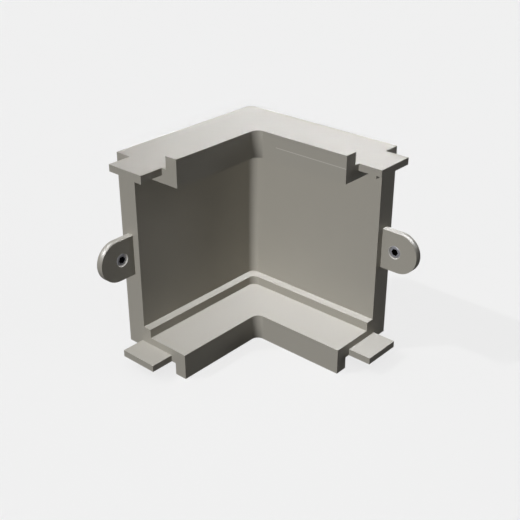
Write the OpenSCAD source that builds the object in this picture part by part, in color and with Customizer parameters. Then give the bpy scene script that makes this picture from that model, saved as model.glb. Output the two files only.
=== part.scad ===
/* [Channel section] */
// Length of each arm, from the outer corner to its open end
arm_l = 60; // [50:1:90]
// Clear height between the two flanges
clear_h = 56.7; // [40:0.1:80]
// Thickness of the walls
wall_t = 7.2; // [6:0.1:9]
// Depth of the flanges, from the back face to the front of the lip
flange_d = 25.8; // [23:0.1:34]
// Thickness of the flanges
flange_t = 4.75; // [3.5:0.05:6]
// Thickness of the lip along the front edge of each flange
lip_t = 4.4; // [3:0.1:6]
// How far the lips stand out beyond the flanges
lip_h = 4.1; // [2.5:0.1:7]
// Width of the square step in the angle between wall and flange
step_w = 3; // [1.5:0.1:5]
// Height of the square step
step_h = 3.1; // [1.5:0.1:5]
// Radius of the upright corners, inside and outside
corner_r = 2.5; // [1:0.1:3.5]

/* [Tabs] */
// How far the tabs stand out of the end face of an arm
tab_l = 8.1; // [5:0.1:14]
// Width of the tabs
tab_w = 13.7; // [8:0.1:15]
// Thickness of the tabs
tab_t = 2.25; // [1.5:0.05:3]
// Distance from the back face to the nearer edge of a tab
tab_inset = 6; // [3:0.1:7]

/* [Ears] */
// How far the ears stand out of the end face of an arm
ear_l = 13; // [11:0.1:18]
// Height of the ears, which is also the diameter of their round ends
ear_h = 13.6; // [10:0.1:18]
// Thickness of the ears
ear_t = 2.3; // [1.6:0.1:4]
// Distance from the end face of an arm to the axis of its set screw
screw_reach = 4.8; // [4:0.1:8]

/* [Set screws] */
// Thread diameter of the set screws
screw_d = 4; // [3:0.1:5]
// Length of the set screws
screw_l = 4; // [3:0.1:4.5]
// Chamfer around the socket end of a set screw
screw_bevel = 0.2; // [0.1:0.05:0.3]
// Diameter of the cup's rim at the tip of a set screw
cup_d = 2; // [1.6:0.1:2.4]
// Depth of the cup at the tip of a set screw
cup_deep = 0.5; // [0.2:0.1:0.8]
// Width of the hexagon socket across its flats
socket_af = 2; // [1.3:0.1:2.2]
// Depth of the hexagon socket, without its drill point
socket_deep = 1.8; // [1:0.1:2]
// Radial gap between a set screw and the hole in its ear
hole_gap = 0.05; // [0.02:0.01:0.15]
// Width of the shallow ledge that a counterbore leaves around the front of a hole
ledge_w = 0.15; // [0.05:0.05:0.5]
// Depth of the counterbore
bore_deep = 0.3; // [0.1:0.05:0.6]
// Chamfer at the back of the holes
hole_bevel = 0.15; // [0.05:0.05:0.5]
// How far a set screw lies below the front of its ear
screw_sink = 0.25; // [0:0.05:0.5]

/* [Hidden] */
$fn = 96;
// Overlap that joins a tab or an ear to its arm, and the margin by which a cutter passes a face
root = 2;
margin = 1;
// Slope of the drill point at the bottom of the socket
drill_slope = tan(30);

// Heights of the section, measured from the lower edge of the bottom lip
total_h = clear_h + 2 * (flange_t + lip_h);
mid_h = total_h / 2;
floor_h = lip_h + flange_t;

// Places across the wall and sizes of the hole
ear_front = (wall_t + ear_t) / 2;
hole_r = screw_d / 2 + hole_gap;
socket_r = socket_af / 2 / cos(30);

// What is done for the arm along X is repeated for the arm along Y
module both_arms() {
    children();
    mirror([1, -1, 0]) children();
}

// What is done for the lower half is repeated upside down for the upper half
module both_halves() {
    children();
    translate([0, 0, total_h]) mirror([0, 0, 1]) children();
}

// Plan of the whole corner, out to a distance from the two back faces
module corner_plan(reach) {
    difference() {
        union() {
            square([arm_l, reach]);
            square([reach, arm_l]);
            translate([reach, reach]) corner_web();
        }
        corner_web();
    }
}

// The little web that a round tool leaves in a square corner at the origin
module corner_web() {
    difference() {
        square(corner_r);
        translate([corner_r, corner_r]) circle(corner_r);
    }
}

// Walls at a right angle, between the outer sides of the two flanges
module walls() {
    translate([0, 0, lip_h]) linear_extrude(total_h - 2 * lip_h) corner_plan(wall_t);
}

// Bottom flange
module flange() {
    translate([0, 0, lip_h]) linear_extrude(flange_t) corner_plan(flange_d);
}

// Lip that hangs from the front edge of the bottom flange
module lip() {
    linear_extrude(floor_h) difference() {
        corner_plan(flange_d);
        corner_plan(flange_d - lip_t);
    }
}

// Square step in the angle between the walls and the bottom flange
module step() {
    translate([0, 0, lip_h]) linear_extrude(flange_t + step_h) corner_plan(wall_t + step_w);
}

// Tab at the end of the X arm, flush with the underside of the bottom flange
module tab() {
    translate([arm_l - root, tab_inset, lip_h]) cube([root + tab_l, tab_w, tab_t]);
}

// Places children at the screw hole of the X arm: z = 0 is the front of the ear, and +z goes into it
module at_screw_hole() {
    translate([arm_l + screw_reach, ear_front, mid_h]) rotate([90, 0, 0]) children();
}

// Ear at the end of the X arm, half-way up and in the middle of the wall's thickness
module ear() {
    translate([arm_l, ear_front, mid_h]) rotate([90, 0, 0]) linear_extrude(ear_t) {
        translate([-root, -ear_h / 2]) square([root + ear_l - ear_h / 2, ear_h]);
        translate([ear_l - ear_h / 2, 0]) circle(ear_h / 2);
    }
}

// Cutter for the screw hole, with a shallow counterbore at the front and a chamfer at the back
module screw_hole() {
    translate([0, 0, -margin]) cylinder(h = ear_t + 2 * margin, r = hole_r);
    translate([0, 0, -margin]) cylinder(h = margin + bore_deep, r = hole_r + ledge_w);
    translate([0, 0, ear_t - hole_bevel])
        cylinder(h = margin + hole_bevel, r1 = hole_r, r2 = hole_r + hole_bevel + margin);
}

// Headless screw with a hexagon socket at z = 0 and a cup point at z = screw_l
module set_screw() {
    difference() {
        rotate_extrude() polygon([
            [0, 0],
            [screw_d / 2 - screw_bevel, 0],
            [screw_d / 2, screw_bevel],
            [screw_d / 2, screw_l - (screw_d - cup_d) / 2],
            [cup_d / 2, screw_l],
            [0, screw_l - cup_deep]
        ]);
        translate([0, 0, -margin]) cylinder(h = margin + socket_deep, r = socket_r, $fn = 6);
        translate([0, 0, socket_deep])
            cylinder(h = socket_af / 2 * drill_slope, r1 = socket_af / 2, r2 = 0);
    }
}

module corner_body() {
    color([0.8, 0.79, 0.76]) difference() {
        union() {
            walls();
            both_halves() {
                flange();
                lip();
                step();
                both_arms() tab();
            }
            both_arms() ear();
        }
        both_arms() at_screw_hole() screw_hole();
    }
}

// The arm along X is on the left, seen from inside the corner
module set_screw_left() {
    color([0.52, 0.53, 0.58]) at_screw_hole() translate([0, 0, screw_sink]) set_screw();
}

module set_screw_right() {
    color([0.52, 0.53, 0.58]) mirror([1, -1, 0]) at_screw_hole() translate([0, 0, screw_sink]) set_screw();
}

corner_body();
set_screw_left();
set_screw_right();
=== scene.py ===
"""Looks of the channel connector: a moulded inside corner piece with a set screw in each ear."""

import math

import bmesh
import bpy
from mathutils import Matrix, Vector


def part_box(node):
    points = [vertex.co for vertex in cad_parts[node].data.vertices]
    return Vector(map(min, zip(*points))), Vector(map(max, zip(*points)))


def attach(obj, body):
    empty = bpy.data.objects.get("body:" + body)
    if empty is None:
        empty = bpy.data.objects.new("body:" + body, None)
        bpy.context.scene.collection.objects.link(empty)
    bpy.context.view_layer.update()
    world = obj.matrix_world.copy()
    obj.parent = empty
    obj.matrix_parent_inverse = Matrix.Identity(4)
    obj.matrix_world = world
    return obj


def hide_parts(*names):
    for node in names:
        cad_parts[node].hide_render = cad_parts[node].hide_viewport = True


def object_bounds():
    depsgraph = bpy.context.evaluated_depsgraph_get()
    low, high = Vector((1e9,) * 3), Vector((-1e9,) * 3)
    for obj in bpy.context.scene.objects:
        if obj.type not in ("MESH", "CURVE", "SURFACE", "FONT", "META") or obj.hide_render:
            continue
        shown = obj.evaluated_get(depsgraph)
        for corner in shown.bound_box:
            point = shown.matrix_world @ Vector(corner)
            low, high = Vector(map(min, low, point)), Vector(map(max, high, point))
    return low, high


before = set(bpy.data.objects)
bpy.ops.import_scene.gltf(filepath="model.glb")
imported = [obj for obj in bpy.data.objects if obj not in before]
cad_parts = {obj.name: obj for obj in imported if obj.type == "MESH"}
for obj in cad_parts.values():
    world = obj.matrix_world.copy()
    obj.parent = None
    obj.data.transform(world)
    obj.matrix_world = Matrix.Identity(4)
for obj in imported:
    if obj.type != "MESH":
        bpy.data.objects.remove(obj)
cad_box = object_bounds()

MM = 0.001

# Camera: it looks at a point just above the middle of the corner, from the open side
CAMERA_AIM = Vector((0.02505, 0.02641, 0.02931))
CAMERA_DISTANCE = 0.3
CAMERA_AZIMUTH = math.radians(131.47)
CAMERA_ELEVATION = math.radians(27.435)
FOCAL_LENGTH_MM = 63.24
SENSOR_MM = 36
CLIP_START = 0.01

# Floor, backdrop and the even light from all round
FLOOR_SIZE = 4.0
FLOOR_ALBEDO = 0.3
FLOOR_BOUNCE_ALBEDO = 0.07
BACKDROP_GREY = 0.871
AMBIENT = 0.04

# Lamps: name, azimuth from +X towards +Y, elevation, strength, spread in degrees
SOFT_LAMPS = [
    ("front", -8, 40, 2.27, 20),
    ("back_high", -150, 39, 0.93, 30),
    ("back_low", -142, 12, 0.61, 30),
]
# Weak lamp that reaches the outer ends of the arms, with shadows
SIDE_LAMPS = [
    ("side", 120, 10, 0.21, 20),
]
# Narrow spots that show as a gleam on the rim of an ear, and add no other light:
# name, screw in the ear, azimuth, elevation, strength, radius at the ear in millimetres
GLEAM_SPOTS = [
    ("gleam_left_1", "set_screw_left", -46, 35, 9.5, 6),
    ("gleam_left_2", "set_screw_left", -57, 45, 2.9, 9),
    ("gleam_left_3", "set_screw_left", -84, 54, 1.8, 11),
    ("gleam_left_4", "set_screw_left", -110, 51, 1.0, 11),
    ("gleam_right_1", "set_screw_right", 140, 30, 1.3, 7),
    ("gleam_right_2", "set_screw_right", 150, 39, 3.9, 8),
    ("gleam_right_3", "set_screw_right", 171, 48, 3.8, 11),
    ("gleam_right_4", "set_screw_right", 193, 47, 1.4, 11),
    ("gleam_right_5", "set_screw_right", 211, 39, 0.6, 11),
]
SPOT_DISTANCE = 0.35
SPOT_LAMP_RADIUS = 8 * MM
SPOT_BLEND = 0.4
# Lamps that light only the floor, where the object shades it
FLOOR_LAMPS = [
    ("floor_sharp", -42, 50.5, 0.54, 1),
    ("floor_soft", 40, 60, 0.6, 120),
]

# Moulded edges of the body
EDGE_ROUND = 0.07 * MM
EDGE_SEGMENTS = 2
EDGE_ANGLE = math.radians(40)
WELD_GAP = 0.001 * MM

# Finish of the body: clouding is the share by which its colour goes up and down
BODY_COLOUR = (0.43, 0.41, 0.362)
BODY_CLOUDING = 0.015
BODY_ROUGHNESS = 0.35
ROUGHNESS_SPREAD = 0.05
CLOUD_SIZE = 14 * MM
CLOUD_DETAIL = 3
GRAIN_SIZE = 0.35 * MM
GRAIN_DETAIL = 4
GRAIN_HEIGHT = 0.006 * MM

# Mouths of the screw holes: a pale colour painted on the walls of the counterbores, a painted
# highlight
MOUTH_RADIUS = 2.22 * MM
MOUTH_HALF_WIDTH = 0.05 * MM
MOUTH_HIGHLIGHT_COLOUR = (0.78, 0.77, 0.75)

# Painted highlight: a pale line painted along the front of one top lip, standing in for light on an
# edge
LINE_HEIGHT = 70.3 * MM
LINE_DEPTH = 25.7 * MM
LINE_START = 33.5 * MM
LINE_HALF_WIDTH = 0.13 * MM
LINE_HIGHLIGHT_COLOUR = (0.6, 0.58, 0.53)

# Set screws: node, and the axis whose positive end the socket faces
SCREWS = [("set_screw_left", 1), ("set_screw_right", 0)]
# Metric coarse thread of 4 mm; the slope and the crest shape its flanks
PITCH = 0.7 * MM
THREAD_DEPTH = 0.4 * MM
FLANK_SLOPE = 1.3
CREST_SHARE = 0.15
SOCKET_FLATS = 2.0 * MM
SOCKET_DEPTH = 1.8 * MM
SOCKET_BEVEL = 0.08 * MM
END_BEVEL = 0.2 * MM
CUP_RADIUS = 1.0 * MM
CUP_DEPTH = 0.5 * MM
DRILL_SLOPE = math.tan(math.radians(30))
TURN_STEPS = 96
ROWS_A_PITCH = 14
SMOOTH_ANGLE = math.radians(35)

# Steel of the set screws
SCREW_COLOUR = (0.4, 0.4, 0.44)
SCREW_CLOUDING = 0.1
SCREW_METALLIC = 0.35
SCREW_ROUGHNESS = (0.4, 0.55)
MARK_SIZE = 0.25 * MM
MARK_DETAIL = 3

# Painted shade in the sockets: a near-black colour stands in for the shade in their depth
SOCKET_SHADE_COLOUR = (0.0015, 0.0015, 0.002)
SOCKET_CLOUDING = 0.5
SOCKET_ROUGHNESS = 0.9
SHADE_NOISE_SIZE = 0.4 * MM
SHADE_NOISE_DETAIL = 2


def view_direction():
    """Unit vector from the camera into the scene."""
    level = math.cos(CAMERA_ELEVATION)
    return Vector((
        -math.sin(CAMERA_AZIMUTH) * level,
        math.cos(CAMERA_AZIMUTH) * level,
        -math.sin(CAMERA_ELEVATION),
    ))


def make_camera():
    """Camera that stands where the photo was taken from."""
    data = bpy.data.cameras.new("camera")
    data.lens = FOCAL_LENGTH_MM
    data.sensor_width = SENSOR_MM
    data.clip_start = CLIP_START
    camera = bpy.data.objects.new("camera", data)
    look = view_direction()
    camera.location = CAMERA_AIM - look * CAMERA_DISTANCE
    camera.rotation_euler = look.to_track_quat("-Z", "Y").to_euler()
    bpy.context.scene.collection.objects.link(camera)
    bpy.context.scene.camera = camera


def direction(azimuth, elevation):
    """Unit vector towards a compass direction and a height above the horizon, in degrees."""
    level = math.cos(math.radians(elevation))
    return Vector((
        level * math.cos(math.radians(azimuth)),
        level * math.sin(math.radians(azimuth)),
        math.sin(math.radians(elevation)),
    ))


def add_lamp(name, azimuth, elevation, strength, spread, casts_shadow):
    """Adds a distant lamp that shines from a compass direction and a height above the horizon."""
    data = bpy.data.lights.new(name, "SUN")
    data.energy = strength
    data.angle = math.radians(spread)
    data.use_shadow = casts_shadow
    data.cycles.use_multiple_importance_sampling = casts_shadow
    lamp = bpy.data.objects.new(name, data)
    lamp.rotation_euler = direction(azimuth, elevation).to_track_quat("Z", "Y").to_euler()
    bpy.context.scene.collection.objects.link(lamp)
    return lamp


def ear_end(screw):
    """Point half-way from a screw to the far end of its ear."""
    low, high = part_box(screw)
    point = (Vector(low) + Vector(high)) / 2
    along = 0 if point.x > point.y else 1
    point[along] = (point[along] + cad_box[1][along]) / 2
    return point


def add_spot(name, screw, azimuth, elevation, strength, radius):
    """Adds a narrow spot that shines on the end of an ear; it shows in gloss alone."""
    data = bpy.data.lights.new(name, "SPOT")
    data.energy = strength * 4 * math.pi * SPOT_DISTANCE ** 2
    data.spot_size = 2 * math.atan(radius * MM / SPOT_DISTANCE)
    data.spot_blend = SPOT_BLEND
    data.shadow_soft_size = SPOT_LAMP_RADIUS
    spot = bpy.data.objects.new(name, data)
    towards = direction(azimuth, elevation)
    spot.location = ear_end(screw) + towards * SPOT_DISTANCE
    spot.rotation_euler = towards.to_track_quat("Z", "Y").to_euler()
    spot.visible_diffuse = False
    bpy.context.scene.collection.objects.link(spot)


def make_lights(floor):
    """Soft lamps that reach every side without shadows, gleams, and lamps for the floor's shadow."""
    for values in SOFT_LAMPS:
        add_lamp(*values, casts_shadow=False)
    for values in SIDE_LAMPS:
        add_lamp(*values, casts_shadow=True)
    for values in GLEAM_SPOTS:
        add_spot(*values)
    floor_only = bpy.data.collections.new("floor_only")
    floor_only.objects.link(floor)
    for values in FLOOR_LAMPS:
        lamp = add_lamp(*values, casts_shadow=True)
        lamp.light_linking.receiver_collection = floor_only


def new_material(name):
    """A node material with only its output and a Principled shader."""
    material = bpy.data.materials.new(name)
    material.use_nodes = True
    nodes = material.node_tree.nodes
    nodes.clear()
    output = nodes.new("ShaderNodeOutputMaterial")
    shader = nodes.new("ShaderNodeBsdfPrincipled")
    material.node_tree.links.new(shader.outputs["BSDF"], output.inputs["Surface"])
    return material, nodes, material.node_tree.links, shader


def grey(level):
    """Opaque grey of a linear brightness."""
    return (level, level, level, 1)


def make_world():
    """Even soft light from all round; the camera sees it as the backdrop's grey."""
    world = bpy.data.worlds.new("studio")
    world.use_nodes = True
    nodes = world.node_tree.nodes
    links = world.node_tree.links
    nodes.clear()
    output = nodes.new("ShaderNodeOutputWorld")
    path = nodes.new("ShaderNodeLightPath")
    light = nodes.new("ShaderNodeBackground")
    light.inputs["Color"].default_value = grey(1)
    light.inputs["Strength"].default_value = AMBIENT
    backdrop = nodes.new("ShaderNodeBackground")
    backdrop.inputs["Color"].default_value = grey(BACKDROP_GREY)
    mix = nodes.new("ShaderNodeMixShader")
    links.new(path.outputs["Is Camera Ray"], mix.inputs["Fac"])
    links.new(light.outputs["Background"], mix.inputs[1])
    links.new(backdrop.outputs["Background"], mix.inputs[2])
    links.new(mix.outputs["Shader"], output.inputs["Surface"])
    bpy.context.scene.world = world


def light_on_open_floor():
    """Light that reaches the floor where nothing stands in its way."""
    lamps = sum(strength * math.sin(math.radians(elevation))
                for _, _, elevation, strength, _ in SOFT_LAMPS + SIDE_LAMPS + FLOOR_LAMPS)
    return AMBIENT + lamps / math.pi


def by_camera_ray(nodes, links, path, elsewhere, seen):
    """Grey that the camera sees as one level and all other rays as another."""
    mix = nodes.new("ShaderNodeMix")
    mix.data_type = "RGBA"
    mix.inputs["A"].default_value = grey(elsewhere)
    mix.inputs["B"].default_value = grey(seen)
    links.new(path.outputs["Is Camera Ray"], mix.inputs["Factor"])
    return mix.outputs["Result"]


def floor_paper():
    """Matt paper with the glow that it lacks of the backdrop's grey, for the camera alone."""
    material, nodes, links, shader = new_material("floor_paper")
    shader.inputs["Roughness"].default_value = 1
    shader.inputs["Specular IOR Level"].default_value = 0
    path = nodes.new("ShaderNodeLightPath")
    paper = by_camera_ray(nodes, links, path, FLOOR_BOUNCE_ALBEDO, FLOOR_ALBEDO)
    links.new(paper, shader.inputs["Base Color"])
    glow = nodes.new("ShaderNodeEmission")
    glow.inputs["Strength"].default_value = 1
    missing = BACKDROP_GREY - FLOOR_ALBEDO * light_on_open_floor()
    links.new(by_camera_ray(nodes, links, path, 0, missing), glow.inputs["Color"])
    both = nodes.new("ShaderNodeAddShader")
    output = next(n for n in nodes if n.type == "OUTPUT_MATERIAL")
    links.new(shader.outputs["BSDF"], both.inputs[0])
    links.new(glow.outputs["Emission"], both.inputs[1])
    links.new(both.outputs["Shader"], output.inputs["Surface"])
    return material


def make_floor():
    """Large pale floor: it keeps the object's shadow, and in the open it looks like the backdrop."""
    mesh = bpy.data.meshes.new("floor")
    half = FLOOR_SIZE / 2
    level = cad_box[0][2]
    corners = [(-half, -half, level), (half, -half, level), (half, half, level), (-half, half, level)]
    mesh.from_pydata(corners, [], [(0, 1, 2, 3)])
    floor = bpy.data.objects.new("floor", mesh)
    bpy.context.scene.collection.objects.link(floor)
    mesh.materials.append(floor_paper())
    return floor


def noise(nodes, links, place, size, detail):
    """Noise texture whose features are about `size` metres across."""
    texture = nodes.new("ShaderNodeTexNoise")
    texture.inputs["Scale"].default_value = 1 / size
    texture.inputs["Detail"].default_value = detail
    links.new(place.outputs["Object"], texture.inputs["Vector"])
    return texture


def shade(colour, factor):
    """Opaque colour, brighter or darker by a factor."""
    return tuple(c * factor for c in colour) + (1,)


def clouded(nodes, links, texture, colour, clouding):
    """Colour that goes up and down by a share after a noise texture."""
    tint = nodes.new("ShaderNodeMix")
    tint.data_type = "RGBA"
    tint.inputs["A"].default_value = shade(colour, 1 - clouding)
    tint.inputs["B"].default_value = shade(colour, 1 + clouding)
    links.new(texture.outputs["Fac"], tint.inputs["Factor"])
    return tint.outputs["Result"]


def vary_roughness(nodes, links, texture, shader, least, most):
    """Lets a shader's roughness go between two values after a noise texture."""
    gloss = nodes.new("ShaderNodeMapRange")
    gloss.inputs["To Min"].default_value = least
    gloss.inputs["To Max"].default_value = most
    links.new(texture.outputs["Fac"], gloss.inputs["Value"])
    links.new(gloss.outputs["Result"], shader.inputs["Roughness"])


def apply_math(nodes, links, operation, first, second):
    """Math node whose inputs are sockets or numbers; returns its output."""
    node = nodes.new("ShaderNodeMath")
    node.operation = operation
    for socket, value in zip(node.inputs, (first, second)):
        if isinstance(value, (int, float)):
            socket.default_value = value
        else:
            links.new(value, socket)
    return node.outputs["Value"]


def mouth_highlight_mask(nodes, links, place):
    """Value that is 1 on the walls of the two counterbores, where the painted highlight goes, and 0
    elsewhere.
    """
    inside = []
    for node, axis in SCREWS:
        low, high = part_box(node)
        across = Vector((1, 1, 1))
        across[axis] = 0
        flat = nodes.new("ShaderNodeVectorMath")
        flat.operation = "MULTIPLY"
        flat.inputs[1].default_value = across
        links.new(place.outputs["Object"], flat.inputs[0])
        distance = nodes.new("ShaderNodeVectorMath")
        distance.operation = "DISTANCE"
        distance.inputs[1].default_value = (Vector(low) + Vector(high)) / 2 * across
        links.new(flat.outputs["Vector"], distance.inputs[0])
        off = apply_math(nodes, links, "SUBTRACT", distance.outputs["Value"], MOUTH_RADIUS)
        size = apply_math(nodes, links, "ABSOLUTE", off, 0)
        inside.append(apply_math(nodes, links, "LESS_THAN", size, MOUTH_HALF_WIDTH))
    return apply_math(nodes, links, "MAXIMUM", *inside)


def highlight_line_mask(nodes, links, place):
    """Value that is 1 on the painted highlight line and 0 elsewhere."""
    axes = nodes.new("ShaderNodeSeparateXYZ")
    links.new(place.outputs["Object"], axes.inputs["Vector"])
    x, y, z = (axes.outputs[name] for name in "XYZ")
    off = apply_math(nodes, links, "SUBTRACT", z, LINE_HEIGHT)
    size = apply_math(nodes, links, "ABSOLUTE", off, 0)
    level = apply_math(nodes, links, "LESS_THAN", size, LINE_HALF_WIDTH)
    front = apply_math(nodes, links, "GREATER_THAN", x, LINE_DEPTH)
    right_arm = apply_math(nodes, links, "GREATER_THAN", y, LINE_START)
    lip = apply_math(nodes, links, "MULTIPLY", front, right_arm)
    return apply_math(nodes, links, "MULTIPLY", level, lip)


def paint_over(nodes, links, under, colour, mask):
    """Lays a colour over another where a mask is 1; returns the mixed colour."""
    mix = nodes.new("ShaderNodeMix")
    mix.data_type = "RGBA"
    mix.inputs["B"].default_value = colour + (1,)
    links.new(mask, mix.inputs["Factor"])
    links.new(under, mix.inputs["A"])
    return mix.outputs["Result"]


def body_plastic():
    """Warm light grey moulded plastic: fine eroded grain, slight clouding of colour and gloss, with
    painted highlights as a pale line on one top lip and pale rings at the mouths of the screw holes.
    """
    material, nodes, links, shader = new_material("moulded_plastic")
    place = nodes.new("ShaderNodeTexCoord")
    cloud = noise(nodes, links, place, CLOUD_SIZE, CLOUD_DETAIL)
    colour = clouded(nodes, links, cloud, BODY_COLOUR, BODY_CLOUDING)
    # Painted highlight: a pale line along the front of one top lip
    colour = paint_over(nodes, links, colour, LINE_HIGHLIGHT_COLOUR, highlight_line_mask(nodes, links, place))
    # Painted highlight: pale rings on the walls of the counterbores at the screw holes' mouths
    colour = paint_over(nodes, links, colour, MOUTH_HIGHLIGHT_COLOUR, mouth_highlight_mask(nodes, links, place))
    links.new(colour, shader.inputs["Base Color"])
    least = BODY_ROUGHNESS - ROUGHNESS_SPREAD
    most = BODY_ROUGHNESS + ROUGHNESS_SPREAD
    vary_roughness(nodes, links, cloud, shader, least, most)
    grain = noise(nodes, links, place, GRAIN_SIZE, GRAIN_DETAIL)
    bump = nodes.new("ShaderNodeBump")
    bump.inputs["Distance"].default_value = GRAIN_HEIGHT
    links.new(grain.outputs["Fac"], bump.inputs["Height"])
    links.new(bump.outputs["Normal"], shader.inputs["Normal"])
    return material


def screw_steel():
    """Bluish zinc-plated steel with faint turning marks."""
    material, nodes, links, shader = new_material("plated_steel")
    place = nodes.new("ShaderNodeTexCoord")
    marks = noise(nodes, links, place, MARK_SIZE, MARK_DETAIL)
    colour = clouded(nodes, links, marks, SCREW_COLOUR, SCREW_CLOUDING)
    links.new(colour, shader.inputs["Base Color"])
    shader.inputs["Metallic"].default_value = SCREW_METALLIC
    vary_roughness(nodes, links, marks, shader, *SCREW_ROUGHNESS)
    return material


def socket_painted_shade():
    """Near-black colour painted on the socket's walls and floor: painted shade in its depth."""
    material, nodes, links, shader = new_material("socket_painted_shade")
    place = nodes.new("ShaderNodeTexCoord")
    shade_noise = noise(nodes, links, place, SHADE_NOISE_SIZE, SHADE_NOISE_DETAIL)
    colour = clouded(nodes, links, shade_noise, SOCKET_SHADE_COLOUR, SOCKET_CLOUDING)
    links.new(colour, shader.inputs["Base Color"])
    shader.inputs["Roughness"].default_value = SOCKET_ROUGHNESS
    shader.inputs["Specular IOR Level"].default_value = 0
    return material


def finish_body():
    """Gives the body's sharp edges a small moulded radius, and its material."""
    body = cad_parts["corner_body"]
    weld = body.modifiers.new("weld", "WELD")
    weld.merge_threshold = WELD_GAP
    bevel = body.modifiers.new("edge_round", "BEVEL")
    bevel.width = EDGE_ROUND
    bevel.segments = EDGE_SEGMENTS
    bevel.limit_method = "ANGLE"
    bevel.angle_limit = EDGE_ANGLE
    bevel.harden_normals = True
    body.data.materials.clear()
    body.data.materials.append(body_plastic())


def thread_radius(turn, depth, length, radius):
    """Radius of the screw at a share of a turn and a depth below its socket face."""
    phase = (depth / PITCH - turn) % 1
    flank = abs(2 * phase - 1)
    cut = min(1, max(0, FLANK_SLOPE * flank - CREST_SHARE))
    thread = radius - THREAD_DEPTH * cut
    front = radius - END_BEVEL + depth
    tip = CUP_RADIUS + (length - depth)
    return min(thread, front, tip)


def socket_radius(turn, flats):
    """Distance from the axis to the wall of a hexagon at a share of a turn."""
    angle = (turn * 6 % 1 - 0.5) * math.pi / 3
    return flats / 2 / math.cos(angle)


def make_screw(node, face_axis, steel, socket_shade):
    """Set screw with a real thread, socket and cup, in the place of a CAD node.

    face_axis is 0 or 1: the axis whose positive end the socket faces.
    """
    low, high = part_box(node)
    low, high = Vector(low), Vector(high)
    length = high[face_axis] - low[face_axis]
    radius = (high.z - low.z) / 2
    middle = (low + high) / 2
    outwards = Vector((0, 0, 0))
    outwards[face_axis] = 1
    up = Vector((0, 0, 1))
    side = up.cross(outwards)
    face = middle + outwards * length / 2

    bm = bmesh.new()
    turns = [i / TURN_STEPS for i in range(TURN_STEPS)]

    def ring(radius_at, depth):
        verts = []
        for turn in turns:
            angle = turn * 2 * math.pi
            r = radius_at(turn)
            spoke = (side * math.cos(angle) + up * math.sin(angle)) * r
            verts.append(bm.verts.new(face + spoke - outwards * depth))
        return verts

    def skin(first, second, slot):
        for i in range(TURN_STEPS):
            j = (i + 1) % TURN_STEPS
            quad = bm.faces.new((first[i], first[j], second[j], second[i]))
            quad.material_index = slot
            quad.smooth = True

    def close(verts, depth, slot):
        centre = bm.verts.new(face - outwards * depth)
        for i in range(TURN_STEPS):
            fan = bm.faces.new((verts[i], verts[(i + 1) % TURN_STEPS], centre))
            fan.material_index = slot

    steps = round(length / PITCH * ROWS_A_PITCH)
    shank = []
    for k in range(steps + 1):
        depth = length * k / steps
        shank.append(ring(lambda turn, d=depth: thread_radius(turn, d, length, radius), depth))
    lead_in = ring(lambda turn: socket_radius(turn, SOCKET_FLATS + 2 * SOCKET_BEVEL), 0)
    mouth = ring(lambda turn: socket_radius(turn, SOCKET_FLATS), SOCKET_BEVEL)
    base = ring(lambda turn: socket_radius(turn, SOCKET_FLATS), SOCKET_DEPTH)
    skin(shank[0], lead_in, 0)
    skin(lead_in, mouth, 1)
    skin(mouth, base, 1)
    close(base, SOCKET_DEPTH + SOCKET_FLATS / 2 * DRILL_SLOPE, 1)
    for upper, lower in zip(shank, shank[1:]):
        skin(lower, upper, 0)
    close(list(reversed(shank[-1])), length - CUP_DEPTH, 0)
    bmesh.ops.recalc_face_normals(bm, faces=bm.faces)
    mesh = bpy.data.meshes.new(node + "_threaded")
    bm.to_mesh(mesh)
    bm.free()
    mesh.materials.append(steel)
    # The second slot holds the socket's painted shade
    mesh.materials.append(socket_shade)
    mesh.set_sharp_from_angle(angle=SMOOTH_ANGLE)
    screw = bpy.data.objects.new(node + "_threaded", mesh)
    bpy.context.scene.collection.objects.link(screw)
    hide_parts(node)
    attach(screw, "root")


scene = bpy.context.scene
scene.view_settings.view_transform = "Standard"
make_camera()
make_world()
make_lights(make_floor())
finish_body()
steel = screw_steel()
socket_shade = socket_painted_shade()
for screw_node, screw_axis in SCREWS:
    make_screw(screw_node, screw_axis, steel, socket_shade)
